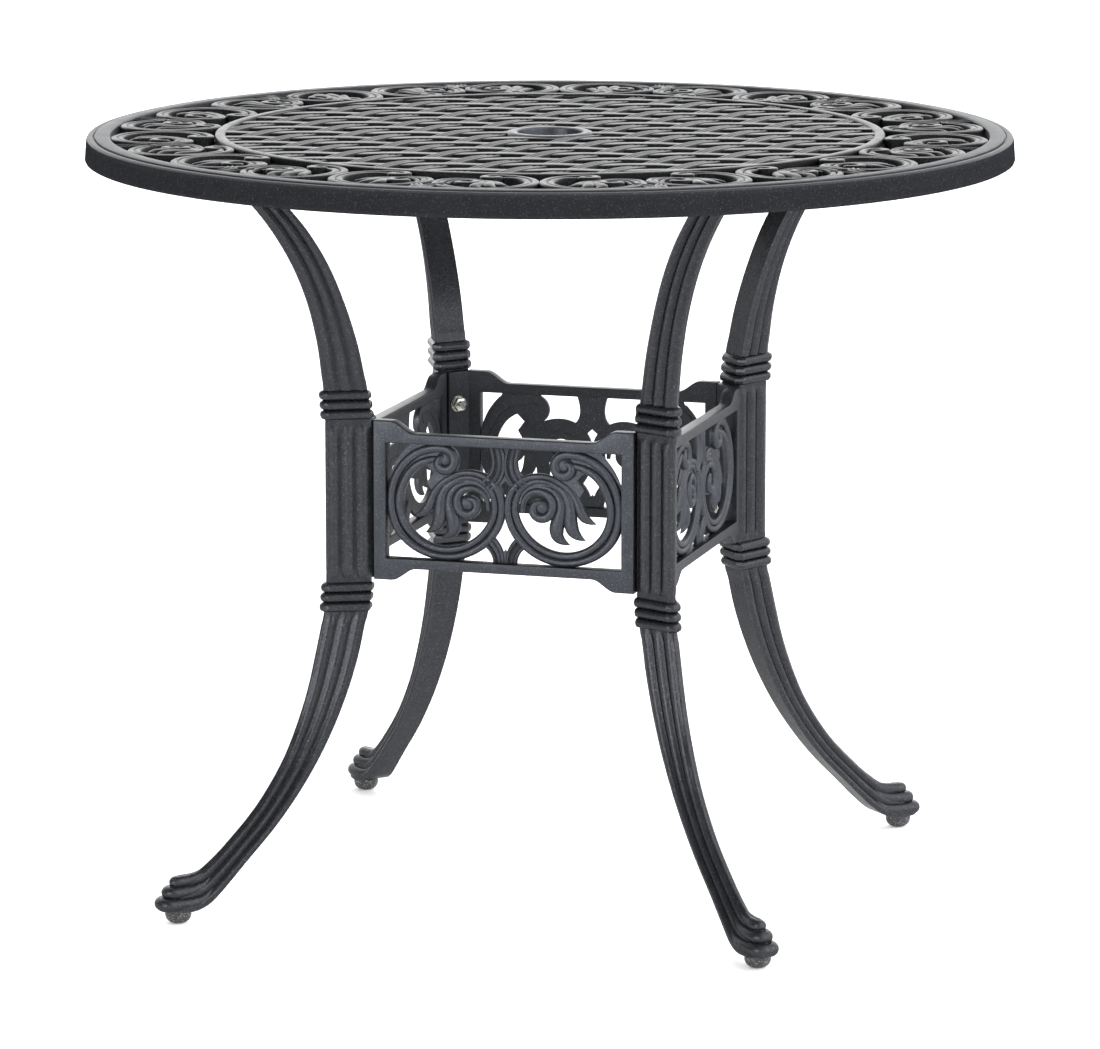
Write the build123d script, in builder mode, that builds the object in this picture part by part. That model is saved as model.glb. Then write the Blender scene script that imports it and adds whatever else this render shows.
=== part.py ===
import os
from math import cos, radians, sin, sqrt

from build123d import *

os.makedirs("parts", exist_ok=True)

# Round patio table of cast aluminium. Millimetres, +Z up, origin on the floor below the centre.
# The aprons stand parallel to X and Y, the legs stand on the diagonals, the front is -Y.

# Table top
top_diameter = 914.4
table_height = 752.0
rim_depth = 25.4
rim_wall = 6.0
rim_flare = 1.8
rim_corner = 6.0
rim_foot_round = 2.5
rim_step_width = 8.0
rim_groove_width = 2.0
rim_groove_depth = 1.5
rim_band_width = 15.0
border_width = 102.6
inner_ring_width = 10.4
web_thickness = 6.0
web_drop = 2.0

# Scrolls in the border of the top
scroll_pairs = 12
scroll_diameter = 97.0
scroll_bar = 8.5
scroll_seat = 0.6
scroll_link = 9.0
leaf_length = 30.0
leaf_width = 13.0
leaf_fan = 28.0
leaf_bearing = 115.0

# Basket weave and umbrella hub
strand_width = 16.0
strand_spacing = 40.5
strand_crossing = 60.0
umbrella_hole = 63.5
hub_wall = 11.0
hub_depth = 28.0

# Legs: a flat back, a narrow nose outwards, bowed out above and below the aprons
leg_width = 35.0
leg_nose = 6.0
leg_depth = 41.0
leg_corner = 1.8
ankle_width = 26.0
ankle_height = 40.0
ankle_back_reach = 158.0
ankle_nose_reach = 144.0
top_back_reach = 117.0
top_nose_reach = 104.0
upper_back_lag = -13.5
upper_nose_lag = 6.5
lower_back_lag = -24.5
lower_nose_lag = -14.5
loft_stations = 5

# Bead bands above and below the aprons
bead_count = 3
bead_height = 9.6
bead_proud = 4.2
bead_flat = 0.8
band_clearance = 1.5

# Paw feet
paw_radius = 412.6
paw_base = 12.0
toe_length = 21.0
toe_height = 12.0
toe_lift = 10.0
toe_reach = 12.0
toe_spread = 15.0
toe_splay = 18.0
toe_stagger = 5.0
instep_length = 36.0
instep_height = 16.0
instep_setback = 14.0
instep_slope = 25.0
glide_boss = 30.0

# Apron panels
apron_face = 162.0
apron_half_width = 132.0
apron_plate = 11.0
apron_bottom = 325.5
apron_height = 158.0
apron_step = 12.0
apron_end = 18.0
ogee_width = 25.0
rail_height = 11.5
stile_width = 15.2
flange_thickness = 5.0
flange_clearance = 0.3
ring_bar = 9.5
ring_thickness = 8.0
ring_bite = 0.5
ring_setback = 1.0
bracket_width = 44.0
bracket_depth = 40.0

# Fasteners
thread = 8.0
thread_play = 0.05
bolt_clearance = 0.25
hex_across = 13.0
washer_diameter = 17.0
washer_thickness = 1.6
spring_washer_diameter = 14.0
spring_washer_thickness = 2.0
nut_height = 6.5
head_height = 5.5
stud_engagement = 16.0
stud_tail = 3.0
stud_spacing = 92.0
bolt_spacing = 54.0
bolt_engagement = 9.0
tap_runout = 1.0
boss_height = 10.0
mount_flange = 7.0
mount_length = 36.0
mount_margin = 11.0

# Levelling glides
glide_diameter = 25.4
glide_dome = 5.0
glide_stud_bite = 8.0
glide_stud_reach = 19.0
insert_diameter = 12.0
insert_length = 18.0

# Worked out from the sizes above
top_radius = top_diameter / 2
groove_outer = top_radius - rim_step_width
band_outer = groove_outer - rim_groove_width
band_inner = band_outer - rim_band_width
ring_outer = band_inner - border_width
ring_inner = ring_outer - inner_ring_width
web_top = table_height - web_drop
web_bottom = web_top - web_thickness
hub_radius = umbrella_hole / 2 + hub_wall
boss_bottom = web_bottom - boss_height
mount_bottom = boss_bottom - mount_flange
leg_back = (apron_face + apron_half_width) / sqrt(2)
apron_top = apron_bottom + apron_height
apron_middle = (apron_bottom + apron_top) / 2
band_height = bead_count * bead_height
upper_back_start = apron_top + upper_back_lag
upper_nose_start = apron_top + upper_nose_lag
lower_back_start = apron_bottom - lower_back_lag
lower_nose_start = apron_bottom - lower_nose_lag
upper_band = apron_top + band_clearance
lower_band = apron_bottom - band_clearance - band_height
mount_radius = leg_back + (top_back_reach + top_nose_reach + leg_depth) / 2
mount_width = bolt_spacing + 2 * mount_margin
corner_angles = [-135, -45, 45, 135]
corner_names = ["front_left", "front_right", "back_right", "back_left"]
side_names = ["front", "right", "back", "left"]
stud_heights = [apron_middle - stud_spacing / 2, apron_middle + stud_spacing / 2]


def bowed(base, reach, start, end, z):
    """Radius at height z of an edge that leaves base upright at start and has gone out by reach at end."""
    rise = abs(end - start)
    bow = (rise**2 + reach**2) / (2 * reach)
    along = (z - start) if end > start else (start - z)
    gone = max(0.0, along)
    return base + bow - sqrt(bow**2 - gone**2)


def leg_section(z, back, nose, width, proud=0.0):
    """Level cut through a leg: flat back, two slanting sides and a narrow rounded nose."""
    with BuildSketch(Plane.XY.offset(z)) as cut:
        corners = [(back, -width / 2), (nose, -leg_nose / 2), (nose, leg_nose / 2), (back, width / 2)]
        Polygon(*corners, align=None)
        fillet(cut.vertices(), radius=leg_corner)
        if proud:
            offset(amount=proud)
    return cut.sketch


def upper_section(z, proud=0.0):
    """Cut through a leg above the aprons."""
    back = bowed(leg_back, top_back_reach, upper_back_start, mount_bottom, z)
    nose = bowed(leg_back + leg_depth, top_nose_reach, upper_nose_start, mount_bottom, z)
    return leg_section(z, back, nose, leg_width, proud)


def lower_section(z, proud=0.0):
    """Cut through a leg below the aprons, narrowing towards the ankle."""
    share = (lower_back_start - z) / (lower_back_start - ankle_height)
    width = leg_width + (ankle_width - leg_width) * share
    back = bowed(leg_back, ankle_back_reach, lower_back_start, ankle_height, z)
    nose = bowed(leg_back + leg_depth, ankle_nose_reach, lower_nose_start, ankle_height, z)
    return leg_section(z, back, nose, width, proud)


def bead(cut, level, section_level):
    """One rounded bead round a leg, with its lower side at level."""
    with BuildPart() as ring:
        extrude(cut(section_level, bead_proud), amount=bead_height)
        fillet(ring.edges().filter_by(Axis.Z, reverse=True), radius=(bead_height - bead_flat) / 2)
    return ring.part.moved(Location((0, 0, level - section_level)))


def half_egg(place, direction, half_length, half_height):
    """Upper half of an ellipse along direction, to be turned into a toe or the instep."""
    side = Vector(0, 0, 1).cross(direction)
    with BuildSketch(Plane(origin=place, x_dir=direction, z_dir=side)) as half:
        Ellipse(half_length, half_height)
        Rectangle(2 * half_length, half_height, align=(Align.CENTER, Align.MIN), mode=Mode.INTERSECT)
    return half.sketch


def radial_plane(angle, radius, z):
    """Plane square to the radius at this angle, facing outwards."""
    turn = radians(angle)
    return Plane(
        origin=(radius * cos(turn), radius * sin(turn), z),
        x_dir=(-sin(turn), cos(turn), 0),
        z_dir=(cos(turn), sin(turn), 0),
    )


# The top is one casting: rim, pierced border, inner ring, weave, hub and four bosses
with BuildPart() as table_top:
    with BuildSketch(Plane.XZ) as rim_cut:
        with BuildLine():
            Polyline(
                (band_inner, table_height),
                (band_outer, table_height),
                (band_outer, table_height - rim_groove_depth),
                (groove_outer, table_height - rim_groove_depth),
                (groove_outer, table_height),
                (top_radius - rim_flare, table_height),
                (top_radius, table_height - rim_depth),
                (top_radius - rim_wall, table_height - rim_depth),
                (top_radius - rim_wall, web_bottom),
                (band_inner, web_bottom),
                close=True,
            )
        make_face()
        outer = rim_cut.vertices().filter_by_position(Axis.X, top_radius - rim_flare, top_radius)
        fillet(outer.sort_by(Axis.Y)[-1], radius=rim_corner)
        fillet(rim_cut.vertices().sort_by(Axis.Y)[0:2].sort_by(Axis.X)[-1], radius=rim_foot_round)
    revolve(axis=Axis.Z)

    with BuildSketch(Plane.XY.offset(web_bottom)):
        Circle(ring_outer)
        Circle(ring_inner, mode=Mode.SUBTRACT)
    extrude(amount=table_height - web_bottom)

    scroll_radius = ring_outer + scroll_diameter / 2 - scroll_seat
    scroll_hole = scroll_diameter / 2 - scroll_bar
    scroll_angle = 360 / (2 * scroll_pairs)
    with BuildSketch(Plane.XY.offset(web_bottom)):
        with PolarLocations(scroll_radius, 2 * scroll_pairs, start_angle=scroll_angle / 2):
            Circle(scroll_diameter / 2)
            with Locations((scroll_diameter / 2 - scroll_bar / 2, 0)):
                reach = band_inner + scroll_seat - scroll_radius - scroll_diameter / 2 + scroll_bar / 2
                Rectangle(reach, scroll_link, align=(Align.MIN, Align.CENTER))
        with PolarLocations(scroll_radius, 2 * scroll_pairs):
            Rectangle(scroll_link, scroll_bar)
        with PolarLocations(scroll_radius, 2 * scroll_pairs, start_angle=scroll_angle / 2):
            Circle(scroll_hole, mode=Mode.SUBTRACT)
        for hand in (-1, 1):
            first = scroll_angle * (1 - hand / 2)
            with PolarLocations(scroll_radius, scroll_pairs, start_angle=first):
                for lean in (-leaf_fan, 0, leaf_fan):
                    turn = hand * (leaf_bearing + lean)
                    across = scroll_hole - leaf_length / 2 + scroll_bar / 2
                    spot = (across * cos(radians(turn)), across * sin(radians(turn)))
                    with Locations(Location(spot, turn)):
                        Ellipse(leaf_length / 2, leaf_width / 2)
                eye = scroll_hole - leaf_length + scroll_bar / 2
                with Locations((eye * cos(radians(leaf_bearing)), hand * eye * sin(radians(leaf_bearing)))):
                    Circle(leaf_width)
    extrude(amount=web_thickness)

    with BuildSketch(Plane.XY.offset(web_bottom)):
        strand_count = 2 * int(ring_inner / strand_spacing) + 1
        for turn in (45 - strand_crossing / 2, 45 + strand_crossing / 2):
            with Locations(Location((0, 0), turn)):
                with GridLocations(1, strand_spacing, 1, strand_count):
                    Rectangle(2 * ring_outer, strand_width)
        Circle(ring_inner + inner_ring_width / 2, mode=Mode.INTERSECT)
        Circle(hub_radius - hub_wall / 2, mode=Mode.SUBTRACT)
    extrude(amount=web_thickness)

    with BuildSketch(Plane.XY.offset(table_height - hub_depth)):
        Circle(hub_radius)
        Circle(umbrella_hole / 2, mode=Mode.SUBTRACT)
    extrude(amount=hub_depth)

    with BuildSketch(Plane.XY.offset(boss_bottom)):
        with PolarLocations(mount_radius, len(corner_angles), start_angle=corner_angles[1]):
            RectangleRounded(mount_length, mount_width, mount_margin)
    extrude(amount=boss_height + web_thickness / 2)
    with BuildSketch(Plane.XY.offset(boss_bottom)):
        with PolarLocations(mount_radius, len(corner_angles), start_angle=corner_angles[1]):
            with GridLocations(1, bolt_spacing, 1, 2):
                Circle(thread / 2 + thread_play)
    extrude(amount=bolt_engagement + tap_runout, mode=Mode.SUBTRACT)
table_top.part.label = "table_top"
export_step(table_top.part, "parts/table_top.step")

# One leg casting, standing on +X, turned to each corner below
beads = []
for number in range(bead_count):
    beads.append(bead(upper_section, upper_band + number * bead_height, upper_band + number * bead_height))
    level = lower_band + number * bead_height
    beads.append(bead(lower_section, level, level + bead_height))
with BuildPart() as leg_casting:
    middle = leg_section(lower_back_start, leg_back, leg_back + leg_depth, leg_width)
    extrude(middle, amount=upper_back_start - lower_back_start)
    upper_step = (mount_bottom - upper_back_start) / loft_stations
    loft([upper_section(upper_back_start + upper_step * number) for number in range(loft_stations + 1)])
    lower_step = (lower_back_start - ankle_height) / loft_stations
    loft([lower_section(lower_back_start - lower_step * number) for number in range(loft_stations + 1)])
    add(beads)

    with BuildSketch(Plane.XY.offset(mount_bottom)):
        with Locations((mount_radius, 0)):
            RectangleRounded(mount_length, mount_width, mount_margin)
    extrude(amount=mount_flange)

    instep = Vector(paw_radius - instep_setback, 0, paw_base + instep_height)
    slope = Vector(cos(radians(instep_slope)), 0, -sin(radians(instep_slope)))
    revolve(half_egg(instep, slope, instep_length, instep_height), axis=Axis(instep, slope))
    for hand in (-1, 0, 1):
        splay = radians(hand * toe_splay)
        toe = Vector(paw_radius + toe_reach - abs(hand) * toe_stagger, hand * toe_spread, paw_base + toe_lift)
        forward = Vector(cos(splay), sin(splay), 0)
        revolve(half_egg(toe, forward, toe_length, toe_height), axis=Axis(toe, forward))
    with BuildSketch(Plane.XY.offset(paw_base)):
        with Locations((paw_radius, 0)):
            Circle(glide_boss / 2)
    extrude(amount=instep_height)
    with BuildSketch(Plane.XY.offset(paw_base)):
        with Locations((paw_radius, 0)):
            Circle(2 * instep_length + toe_length)
    extrude(amount=-instep_height, mode=Mode.SUBTRACT)

    with BuildSketch(Plane.XY.offset(mount_bottom)):
        with Locations((mount_radius, 0)):
            with GridLocations(1, bolt_spacing, 1, 2):
                Circle(thread / 2 + bolt_clearance)
    extrude(amount=mount_flange, mode=Mode.SUBTRACT)
    for height in stud_heights:
        with BuildSketch(radial_plane(0, leg_back, height)):
            Circle(thread / 2 + thread_play)
        extrude(amount=stud_engagement + tap_runout, mode=Mode.SUBTRACT)
    with BuildSketch(Plane.XY.offset(paw_base)):
        with Locations((paw_radius, 0)):
            Circle(insert_diameter / 2)
    extrude(amount=glide_stud_reach + tap_runout, mode=Mode.SUBTRACT)

for corner, angle in zip(corner_names, corner_angles):
    with BuildPart() as leg:
        add(leg_casting.part, rotation=(0, 0, angle))
    leg.part.label = "leg_" + corner
    export_step(leg.part, "parts/leg_" + corner + ".step")

# One apron casting, standing at the front, turned to each side below
apron_back = apron_face - apron_plate
opening_height = apron_height - 2 * (apron_step + rail_height)
opening_width = 2 * (apron_half_width - stile_width)
ring_diameter = opening_height + 2 * ring_bite
chamfer = apron_face + apron_half_width
lap = flange_thickness * sqrt(2)
flange_end = apron_back - flange_clearance
with BuildPart() as apron_casting:
    with BuildSketch(Plane.XZ.offset(apron_face)) as outline:
        with BuildLine() as edge:
            end = (apron_half_width + apron_plate, apron_top)
            high = (apron_half_width - apron_end, apron_top)
            turn = (high[0] - ogee_width / 2, apron_top - apron_step / 2)
            low = (high[0] - ogee_width, apron_top - apron_step)
            Line((end[0], apron_middle), end)
            Line(end, high)
            first = TangentArc(high, turn, tangent=(-1, 0))
            TangentArc(turn, low, tangent=first % 1)
            Line(low, (0, low[1]))
            mirror(about=Plane.YZ)
            mirror(about=Plane.XZ.offset(-apron_middle))
        make_face()
        with Locations((0, apron_middle)):
            Rectangle(opening_width, opening_height, mode=Mode.SUBTRACT)
    extrude(amount=-apron_plate)
    with BuildSketch(Plane.XY.offset(apron_bottom)):
        outer_end = apron_half_width
        inner_end = apron_half_width + apron_plate
        Polygon((-outer_end, -apron_face), (outer_end, -apron_face), (inner_end, -apron_back),
                (-inner_end, -apron_back), align=None)
    extrude(amount=apron_height, mode=Mode.INTERSECT)

    with BuildSketch(Plane.XZ.offset(apron_face - ring_setback)):
        with Locations((0, apron_middle)):
            with GridLocations(ring_diameter - 2 * ring_bite, 1, 2, 1):
                Circle(ring_diameter / 2)
            with GridLocations(ring_diameter - 2 * ring_bite, 1, 2, 1):
                Circle(ring_diameter / 2 - ring_bar, mode=Mode.SUBTRACT)
            for hand in (-1, 1):
                with Locations((hand * (ring_diameter / 2 - ring_bite), 0)):
                    for lean in (-leaf_fan, 0, leaf_fan):
                        turn = -90 + lean
                        across = ring_diameter / 2 - ring_bar / 2 - leaf_length / 2
                        spot = (across * cos(radians(turn)), across * sin(radians(turn)))
                        with Locations(Location(spot, turn)):
                            Ellipse(leaf_length / 2, leaf_width / 2)
                    with Locations((0, leaf_length + ring_bar / 2 - ring_diameter / 2)):
                        Circle(leaf_width)
                stile = opening_width / 2
                with Locations((hand * stile, 0)):
                    Rectangle(2 * (stile - ring_diameter + 2 * ring_bite), leaf_width)
                rail = hand * (opening_height / 2 + rail_height / 2)
                tip = hand * (opening_height / 2 - bracket_depth)
                Polygon((-bracket_width / 2, rail), (bracket_width / 2, rail), (0, tip), align=None)
    extrude(amount=-ring_thickness)

    with BuildSketch(Plane.XY.offset(apron_bottom)):
        root = apron_back + apron_plate / 4
        near = chamfer - 2 * lap
        far = chamfer - lap
        Polygon((near - root, -root), (far - root, -root), (flange_end, flange_end - far),
                (flange_end, flange_end - near), align=None)
        Polygon((root - far, -root), (root - chamfer, -root), (-flange_end, flange_end - chamfer),
                (-flange_end, flange_end - far), align=None)
    extrude(amount=apron_height)
    for angle in (-45, -135):
        for height in stud_heights:
            with BuildSketch(radial_plane(angle, leg_back, height)):
                Circle(thread / 2 + bolt_clearance)
            extrude(amount=-2 * flange_thickness, mode=Mode.SUBTRACT)

for number, side in enumerate(side_names):
    with BuildPart() as apron:
        add(apron_casting.part, rotation=(0, 0, 90 * number))
    apron.part.label = "apron_" + side
    export_step(apron.part, "parts/apron_" + side + ".step")

# Studs, washers and nuts that hold two lapped apron ends to each leg
lapped = leg_back - 2 * flange_thickness
with BuildPart() as apron_studs:
    for angle in corner_angles:
        for height in stud_heights:
            with BuildSketch(radial_plane(angle, leg_back + stud_engagement, height)):
                Circle(thread / 2)
            extrude(amount=-(stud_engagement + 2 * flange_thickness + washer_thickness + nut_height + stud_tail))
apron_studs.part.label = "apron_studs"
export_step(apron_studs.part, "parts/apron_studs.step")

with BuildPart() as apron_washers:
    for angle in corner_angles:
        for height in stud_heights:
            with BuildSketch(radial_plane(angle, lapped, height)):
                Circle(washer_diameter / 2)
                Circle(thread / 2 + bolt_clearance, mode=Mode.SUBTRACT)
            extrude(amount=-washer_thickness)
apron_washers.part.label = "apron_washers"
export_step(apron_washers.part, "parts/apron_washers.step")

with BuildPart() as apron_nuts:
    for angle in corner_angles:
        for height in stud_heights:
            with BuildSketch(radial_plane(angle, lapped - washer_thickness, height)):
                RegularPolygon(hex_across / 2, 6, major_radius=False)
                Circle(thread / 2 + thread_play, mode=Mode.SUBTRACT)
            extrude(amount=-nut_height)
apron_nuts.part.label = "apron_nuts"
export_step(apron_nuts.part, "parts/apron_nuts.step")

# Bolts and washers that hold each leg's top flange to a boss under the top
with BuildPart() as top_washers:
    with BuildSketch(Plane.XY.offset(mount_bottom)):
        with PolarLocations(mount_radius, len(corner_angles), start_angle=corner_angles[1]):
            with GridLocations(1, bolt_spacing, 1, 2):
                Circle(washer_diameter / 2)
            with GridLocations(1, bolt_spacing, 1, 2):
                Circle(thread / 2 + bolt_clearance, mode=Mode.SUBTRACT)
    extrude(amount=-washer_thickness)
top_washers.part.label = "top_washers"
export_step(top_washers.part, "parts/top_washers.step")

with BuildPart() as top_spring_washers:
    with BuildSketch(Plane.XY.offset(mount_bottom - washer_thickness)):
        with PolarLocations(mount_radius, len(corner_angles), start_angle=corner_angles[1]):
            with GridLocations(1, bolt_spacing, 1, 2):
                Circle(spring_washer_diameter / 2)
            with GridLocations(1, bolt_spacing, 1, 2):
                Circle(thread / 2 + bolt_clearance, mode=Mode.SUBTRACT)
    extrude(amount=-spring_washer_thickness)
top_spring_washers.part.label = "top_spring_washers"
export_step(top_spring_washers.part, "parts/top_spring_washers.step")

head_seat = mount_bottom - washer_thickness - spring_washer_thickness
with BuildPart() as top_bolts:
    with BuildSketch(Plane.XY.offset(head_seat)):
        with PolarLocations(mount_radius, len(corner_angles), start_angle=corner_angles[1]):
            with GridLocations(1, bolt_spacing, 1, 2):
                RegularPolygon(hex_across / 2, 6, major_radius=False)
    extrude(amount=-head_height)
    with BuildSketch(Plane.XY.offset(head_seat)):
        with PolarLocations(mount_radius, len(corner_angles), start_angle=corner_angles[1]):
            with GridLocations(1, bolt_spacing, 1, 2):
                Circle(thread / 2)
    extrude(amount=boss_bottom + bolt_engagement - head_seat)
top_bolts.part.label = "top_bolts"
export_step(top_bolts.part, "parts/top_bolts.step")

# Threaded inserts in the paws, and the levelling glides that screw into them
with BuildPart() as glide_inserts:
    with BuildSketch(Plane.XY.offset(paw_base)):
        with PolarLocations(paw_radius, len(corner_angles), start_angle=corner_angles[1]):
            Circle(insert_diameter / 2)
            Circle(thread / 2 + thread_play, mode=Mode.SUBTRACT)
    extrude(amount=insert_length)
glide_inserts.part.label = "glide_inserts"
export_step(glide_inserts.part, "parts/glide_inserts.step")

for corner, angle in zip(corner_names, corner_angles):
    foot = (paw_radius * cos(radians(angle)), paw_radius * sin(radians(angle)))
    with BuildPart() as glide_pad:
        with BuildSketch(Plane.XY):
            with Locations(foot):
                Circle(glide_diameter / 2)
        extrude(amount=paw_base)
        fillet(glide_pad.edges().sort_by(Axis.Z)[0], radius=glide_dome)
        with BuildSketch(Plane.XY.offset(paw_base)):
            with Locations(foot):
                Circle(thread / 2)
        extrude(amount=-glide_stud_bite, mode=Mode.SUBTRACT)
    glide_pad.part.label = "glide_pad_" + corner
    export_step(glide_pad.part, "parts/glide_pad_" + corner + ".step")

    with BuildPart() as glide_stud:
        with BuildSketch(Plane.XY.offset(paw_base - glide_stud_bite)):
            with Locations(foot):
                Circle(thread / 2)
        extrude(amount=glide_stud_bite + glide_stud_reach)
    glide_stud.part.label = "glide_stud_" + corner
    export_step(glide_stud.part, "parts/glide_stud_" + corner + ".step")
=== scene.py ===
from math import cos, pi, radians, sin, sqrt

import bpy
from mathutils import Matrix, Vector


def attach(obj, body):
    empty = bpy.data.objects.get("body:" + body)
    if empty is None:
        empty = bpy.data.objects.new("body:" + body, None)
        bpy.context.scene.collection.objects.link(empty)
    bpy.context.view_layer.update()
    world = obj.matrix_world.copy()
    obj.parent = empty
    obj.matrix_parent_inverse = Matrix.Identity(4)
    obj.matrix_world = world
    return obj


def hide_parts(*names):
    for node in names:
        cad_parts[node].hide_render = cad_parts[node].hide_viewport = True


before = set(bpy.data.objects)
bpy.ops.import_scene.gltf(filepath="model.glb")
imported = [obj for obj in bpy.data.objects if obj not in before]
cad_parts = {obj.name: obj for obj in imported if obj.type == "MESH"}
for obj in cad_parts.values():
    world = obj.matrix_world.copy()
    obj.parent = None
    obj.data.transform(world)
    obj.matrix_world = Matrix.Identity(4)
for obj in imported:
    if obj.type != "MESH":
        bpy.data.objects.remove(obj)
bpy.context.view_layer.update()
bpy.ops.object.select_all(action="DESELECT")
print("frame loaded:", len(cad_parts), "nodes")

# Sizes are in mm until they go into a mesh
mm = 0.001
weldDistance = 0.02
sharpCrease, softCrease, domeCrease = 38, 50, 60
# The corners of the table: name in the frame, name in the scene, angle
corners = [("front_left", "FrontLeft", -135), ("front_right", "FrontRight", -45),
           ("back_right", "BackRight", 45), ("back_left", "BackLeft", 135)]


# Small helpers for all pieces
def makeActive(piece):
    bpy.ops.object.select_all(action="DESELECT")
    piece.select_set(True)
    bpy.context.view_layer.objects.active = piece


def finishMesh(piece, creaseAngle=sharpCrease):
    makeActive(piece)
    bpy.ops.object.mode_set(mode="EDIT")
    bpy.ops.mesh.select_all(action="SELECT")
    bpy.ops.mesh.remove_doubles(threshold=weldDistance * mm)
    bpy.ops.mesh.fill_holes(sides=0)
    bpy.ops.mesh.normals_make_consistent(inside=False)
    bpy.ops.object.mode_set(mode="OBJECT")
    bpy.ops.object.shade_smooth_by_angle(angle=radians(creaseAngle))
    return piece


def joinPieces(name, pieces):
    bpy.ops.object.select_all(action="DESELECT")
    for piece in pieces:
        piece.select_set(True)
    bpy.context.view_layer.objects.active = pieces[0]
    if len(pieces) > 1:
        bpy.ops.object.join()
    pieces[0].name = name
    return pieces[0]


def copyPiece(piece, place, mirrored=False):
    twin = piece.copy()
    twin.data = piece.data.copy()
    bpy.context.scene.collection.objects.link(twin)
    twin.data.transform(place)
    if mirrored:
        twin.data.flip_normals()
    return twin


def dropPiece(piece):
    bpy.data.objects.remove(piece)


# Copies of one pattern at all its places, joined; the pattern goes
def spreadCopies(name, pattern, places):
    copies = [copyPiece(pattern, place) for place in places]
    dropPiece(pattern)
    return joinPieces(name, copies)


def turned(angle):
    return Matrix.Rotation(radians(angle), 4, "Z")


def polarPlace(angle, radius, turn=0):
    spot = Vector((cos(radians(angle)), sin(radians(angle)), 0)) * radius * mm
    return Matrix.Translation(spot) @ turned(turn)


def settle(piece, body, slotName, material, *nodes):
    piece.data.materials.clear()
    piece.data.materials.append(material)
    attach(piece, body)
    if nodes:
        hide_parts(*nodes)


# A ring turned about the Z axis: each corner of its section is one more extrude of the circle
def turnedRing(name, section, segments):
    radius, height = section[0]
    bpy.ops.mesh.primitive_circle_add(vertices=segments, radius=radius * mm,
                                      location=(0, 0, height * mm))
    ring = bpy.context.object
    bpy.ops.object.mode_set(mode="EDIT")
    bpy.ops.mesh.select_all(action="SELECT")
    for nextRadius, nextHeight in section[1:] + section[:1]:
        bpy.ops.mesh.extrude_edges_indiv()
        grow = nextRadius / radius
        bpy.ops.transform.resize(value=(grow, grow, 1), center_override=(0, 0, 0))
        bpy.ops.transform.translate(value=(0, 0, (nextHeight - height) * mm))
        radius, height = nextRadius, nextHeight
    bpy.ops.object.mode_set(mode="OBJECT")
    bpy.ops.object.transform_apply(location=True, rotation=True, scale=True)
    ring.name = name
    return finishMesh(ring)


# A skin drawn through closed rings of points, from one end of a casting to the other
def skinThrough(name, rings):
    around = len(rings[0])
    bpy.ops.mesh.primitive_grid_add(x_subdivisions=around, y_subdivisions=len(rings) - 1)
    skin = bpy.context.object
    for index, vertex in enumerate(skin.data.vertices):
        row, column = divmod(index, around + 1)
        vertex.co = Vector(rings[row][column % around]) * mm
    skin.name = name
    return finishMesh(skin)


# A moulding run along smooth lines: each run is a list of (x, y, z, thickness share)
def mouldedRun(name, runs, section, kind="NURBS", smoothness=5):
    profile = bpy.data.curves.new(name + "Section", "CURVE")
    outline = profile.splines.new("POLY")
    outline.points.add(len(section) - 1)
    for point, (across, high) in zip(outline.points, section):
        point.co = (across * mm, high * mm, 0, 1)
    outline.use_cyclic_u = True
    profileObject = bpy.data.objects.new(name + "Section", profile)
    bpy.context.scene.collection.objects.link(profileObject)
    line = bpy.data.curves.new(name, "CURVE")
    line.dimensions = "3D"
    line.twist_mode = "Z_UP"
    line.resolution_u = smoothness
    line.bevel_mode = "OBJECT"
    line.bevel_object = profileObject
    line.use_fill_caps = True
    for run in runs:
        spline = line.splines.new(kind)
        spline.points.add(len(run) - 1)
        for point, (x, y, z, share) in zip(spline.points, run):
            point.co = (x * mm, y * mm, z * mm, 1)
            point.radius = share
        if kind == "NURBS":
            spline.order_u = 4
            spline.use_endpoint_u = True
    piece = bpy.data.objects.new(name, line)
    bpy.context.scene.collection.objects.link(piece)
    makeActive(piece)
    bpy.ops.object.convert(target="MESH")
    dropPiece(profileObject)
    return finishMesh(bpy.context.object, softCrease)


# A smooth cubic line through the given stations
def smoothStations(stations, between):
    last = len(stations) - 1
    smooth = []
    for number in range(last):
        four = [stations[max(0, min(last, number + shift))] for shift in (-1, 0, 1, 2)]
        for step in range(between):
            t = step / between
            weights = (-0.5 * t + t**2 - 0.5 * t**3, 1 - 2.5 * t**2 + 1.5 * t**3,
                       0.5 * t + 2 * t**2 - 1.5 * t**3, -0.5 * t**2 + 0.5 * t**3)
            smooth.append([sum(weight * station[k] for weight, station in zip(weights, four))
                           for k in range(len(stations[0]))])
    smooth.append(list(stations[last]))
    return smooth


# A dome that stands on a flat back
def domedBall(place, size, back):
    bpy.ops.mesh.primitive_uv_sphere_add(segments=24, ring_count=14, radius=1)
    ball = bpy.context.object
    ball.data.transform(Matrix.LocRotScale(Vector(place) * mm, None, Vector(size) * mm))
    for vertex in ball.data.vertices:
        vertex.co.z = max(vertex.co.z, back * mm)
    return finishMesh(ball, domeCrease)


def bevelEdges(piece, width, segments):
    makeActive(piece)
    bevel = piece.modifiers.new("roundedEdges", "BEVEL")
    bevel.width = width * mm
    bevel.segments = segments
    bpy.ops.object.modifier_apply(modifier=bevel.name)
    return finishMesh(piece)


def roundedBlock(low, high, bevelWidth):
    bpy.ops.mesh.primitive_cube_add(size=1)
    block = bpy.context.object
    size, middle = Vector(high) - Vector(low), (Vector(high) + Vector(low)) / 2
    block.data.transform(Matrix.LocRotScale(middle * mm, None, size * mm))
    return bevelEdges(block, bevelWidth, 3)


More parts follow.
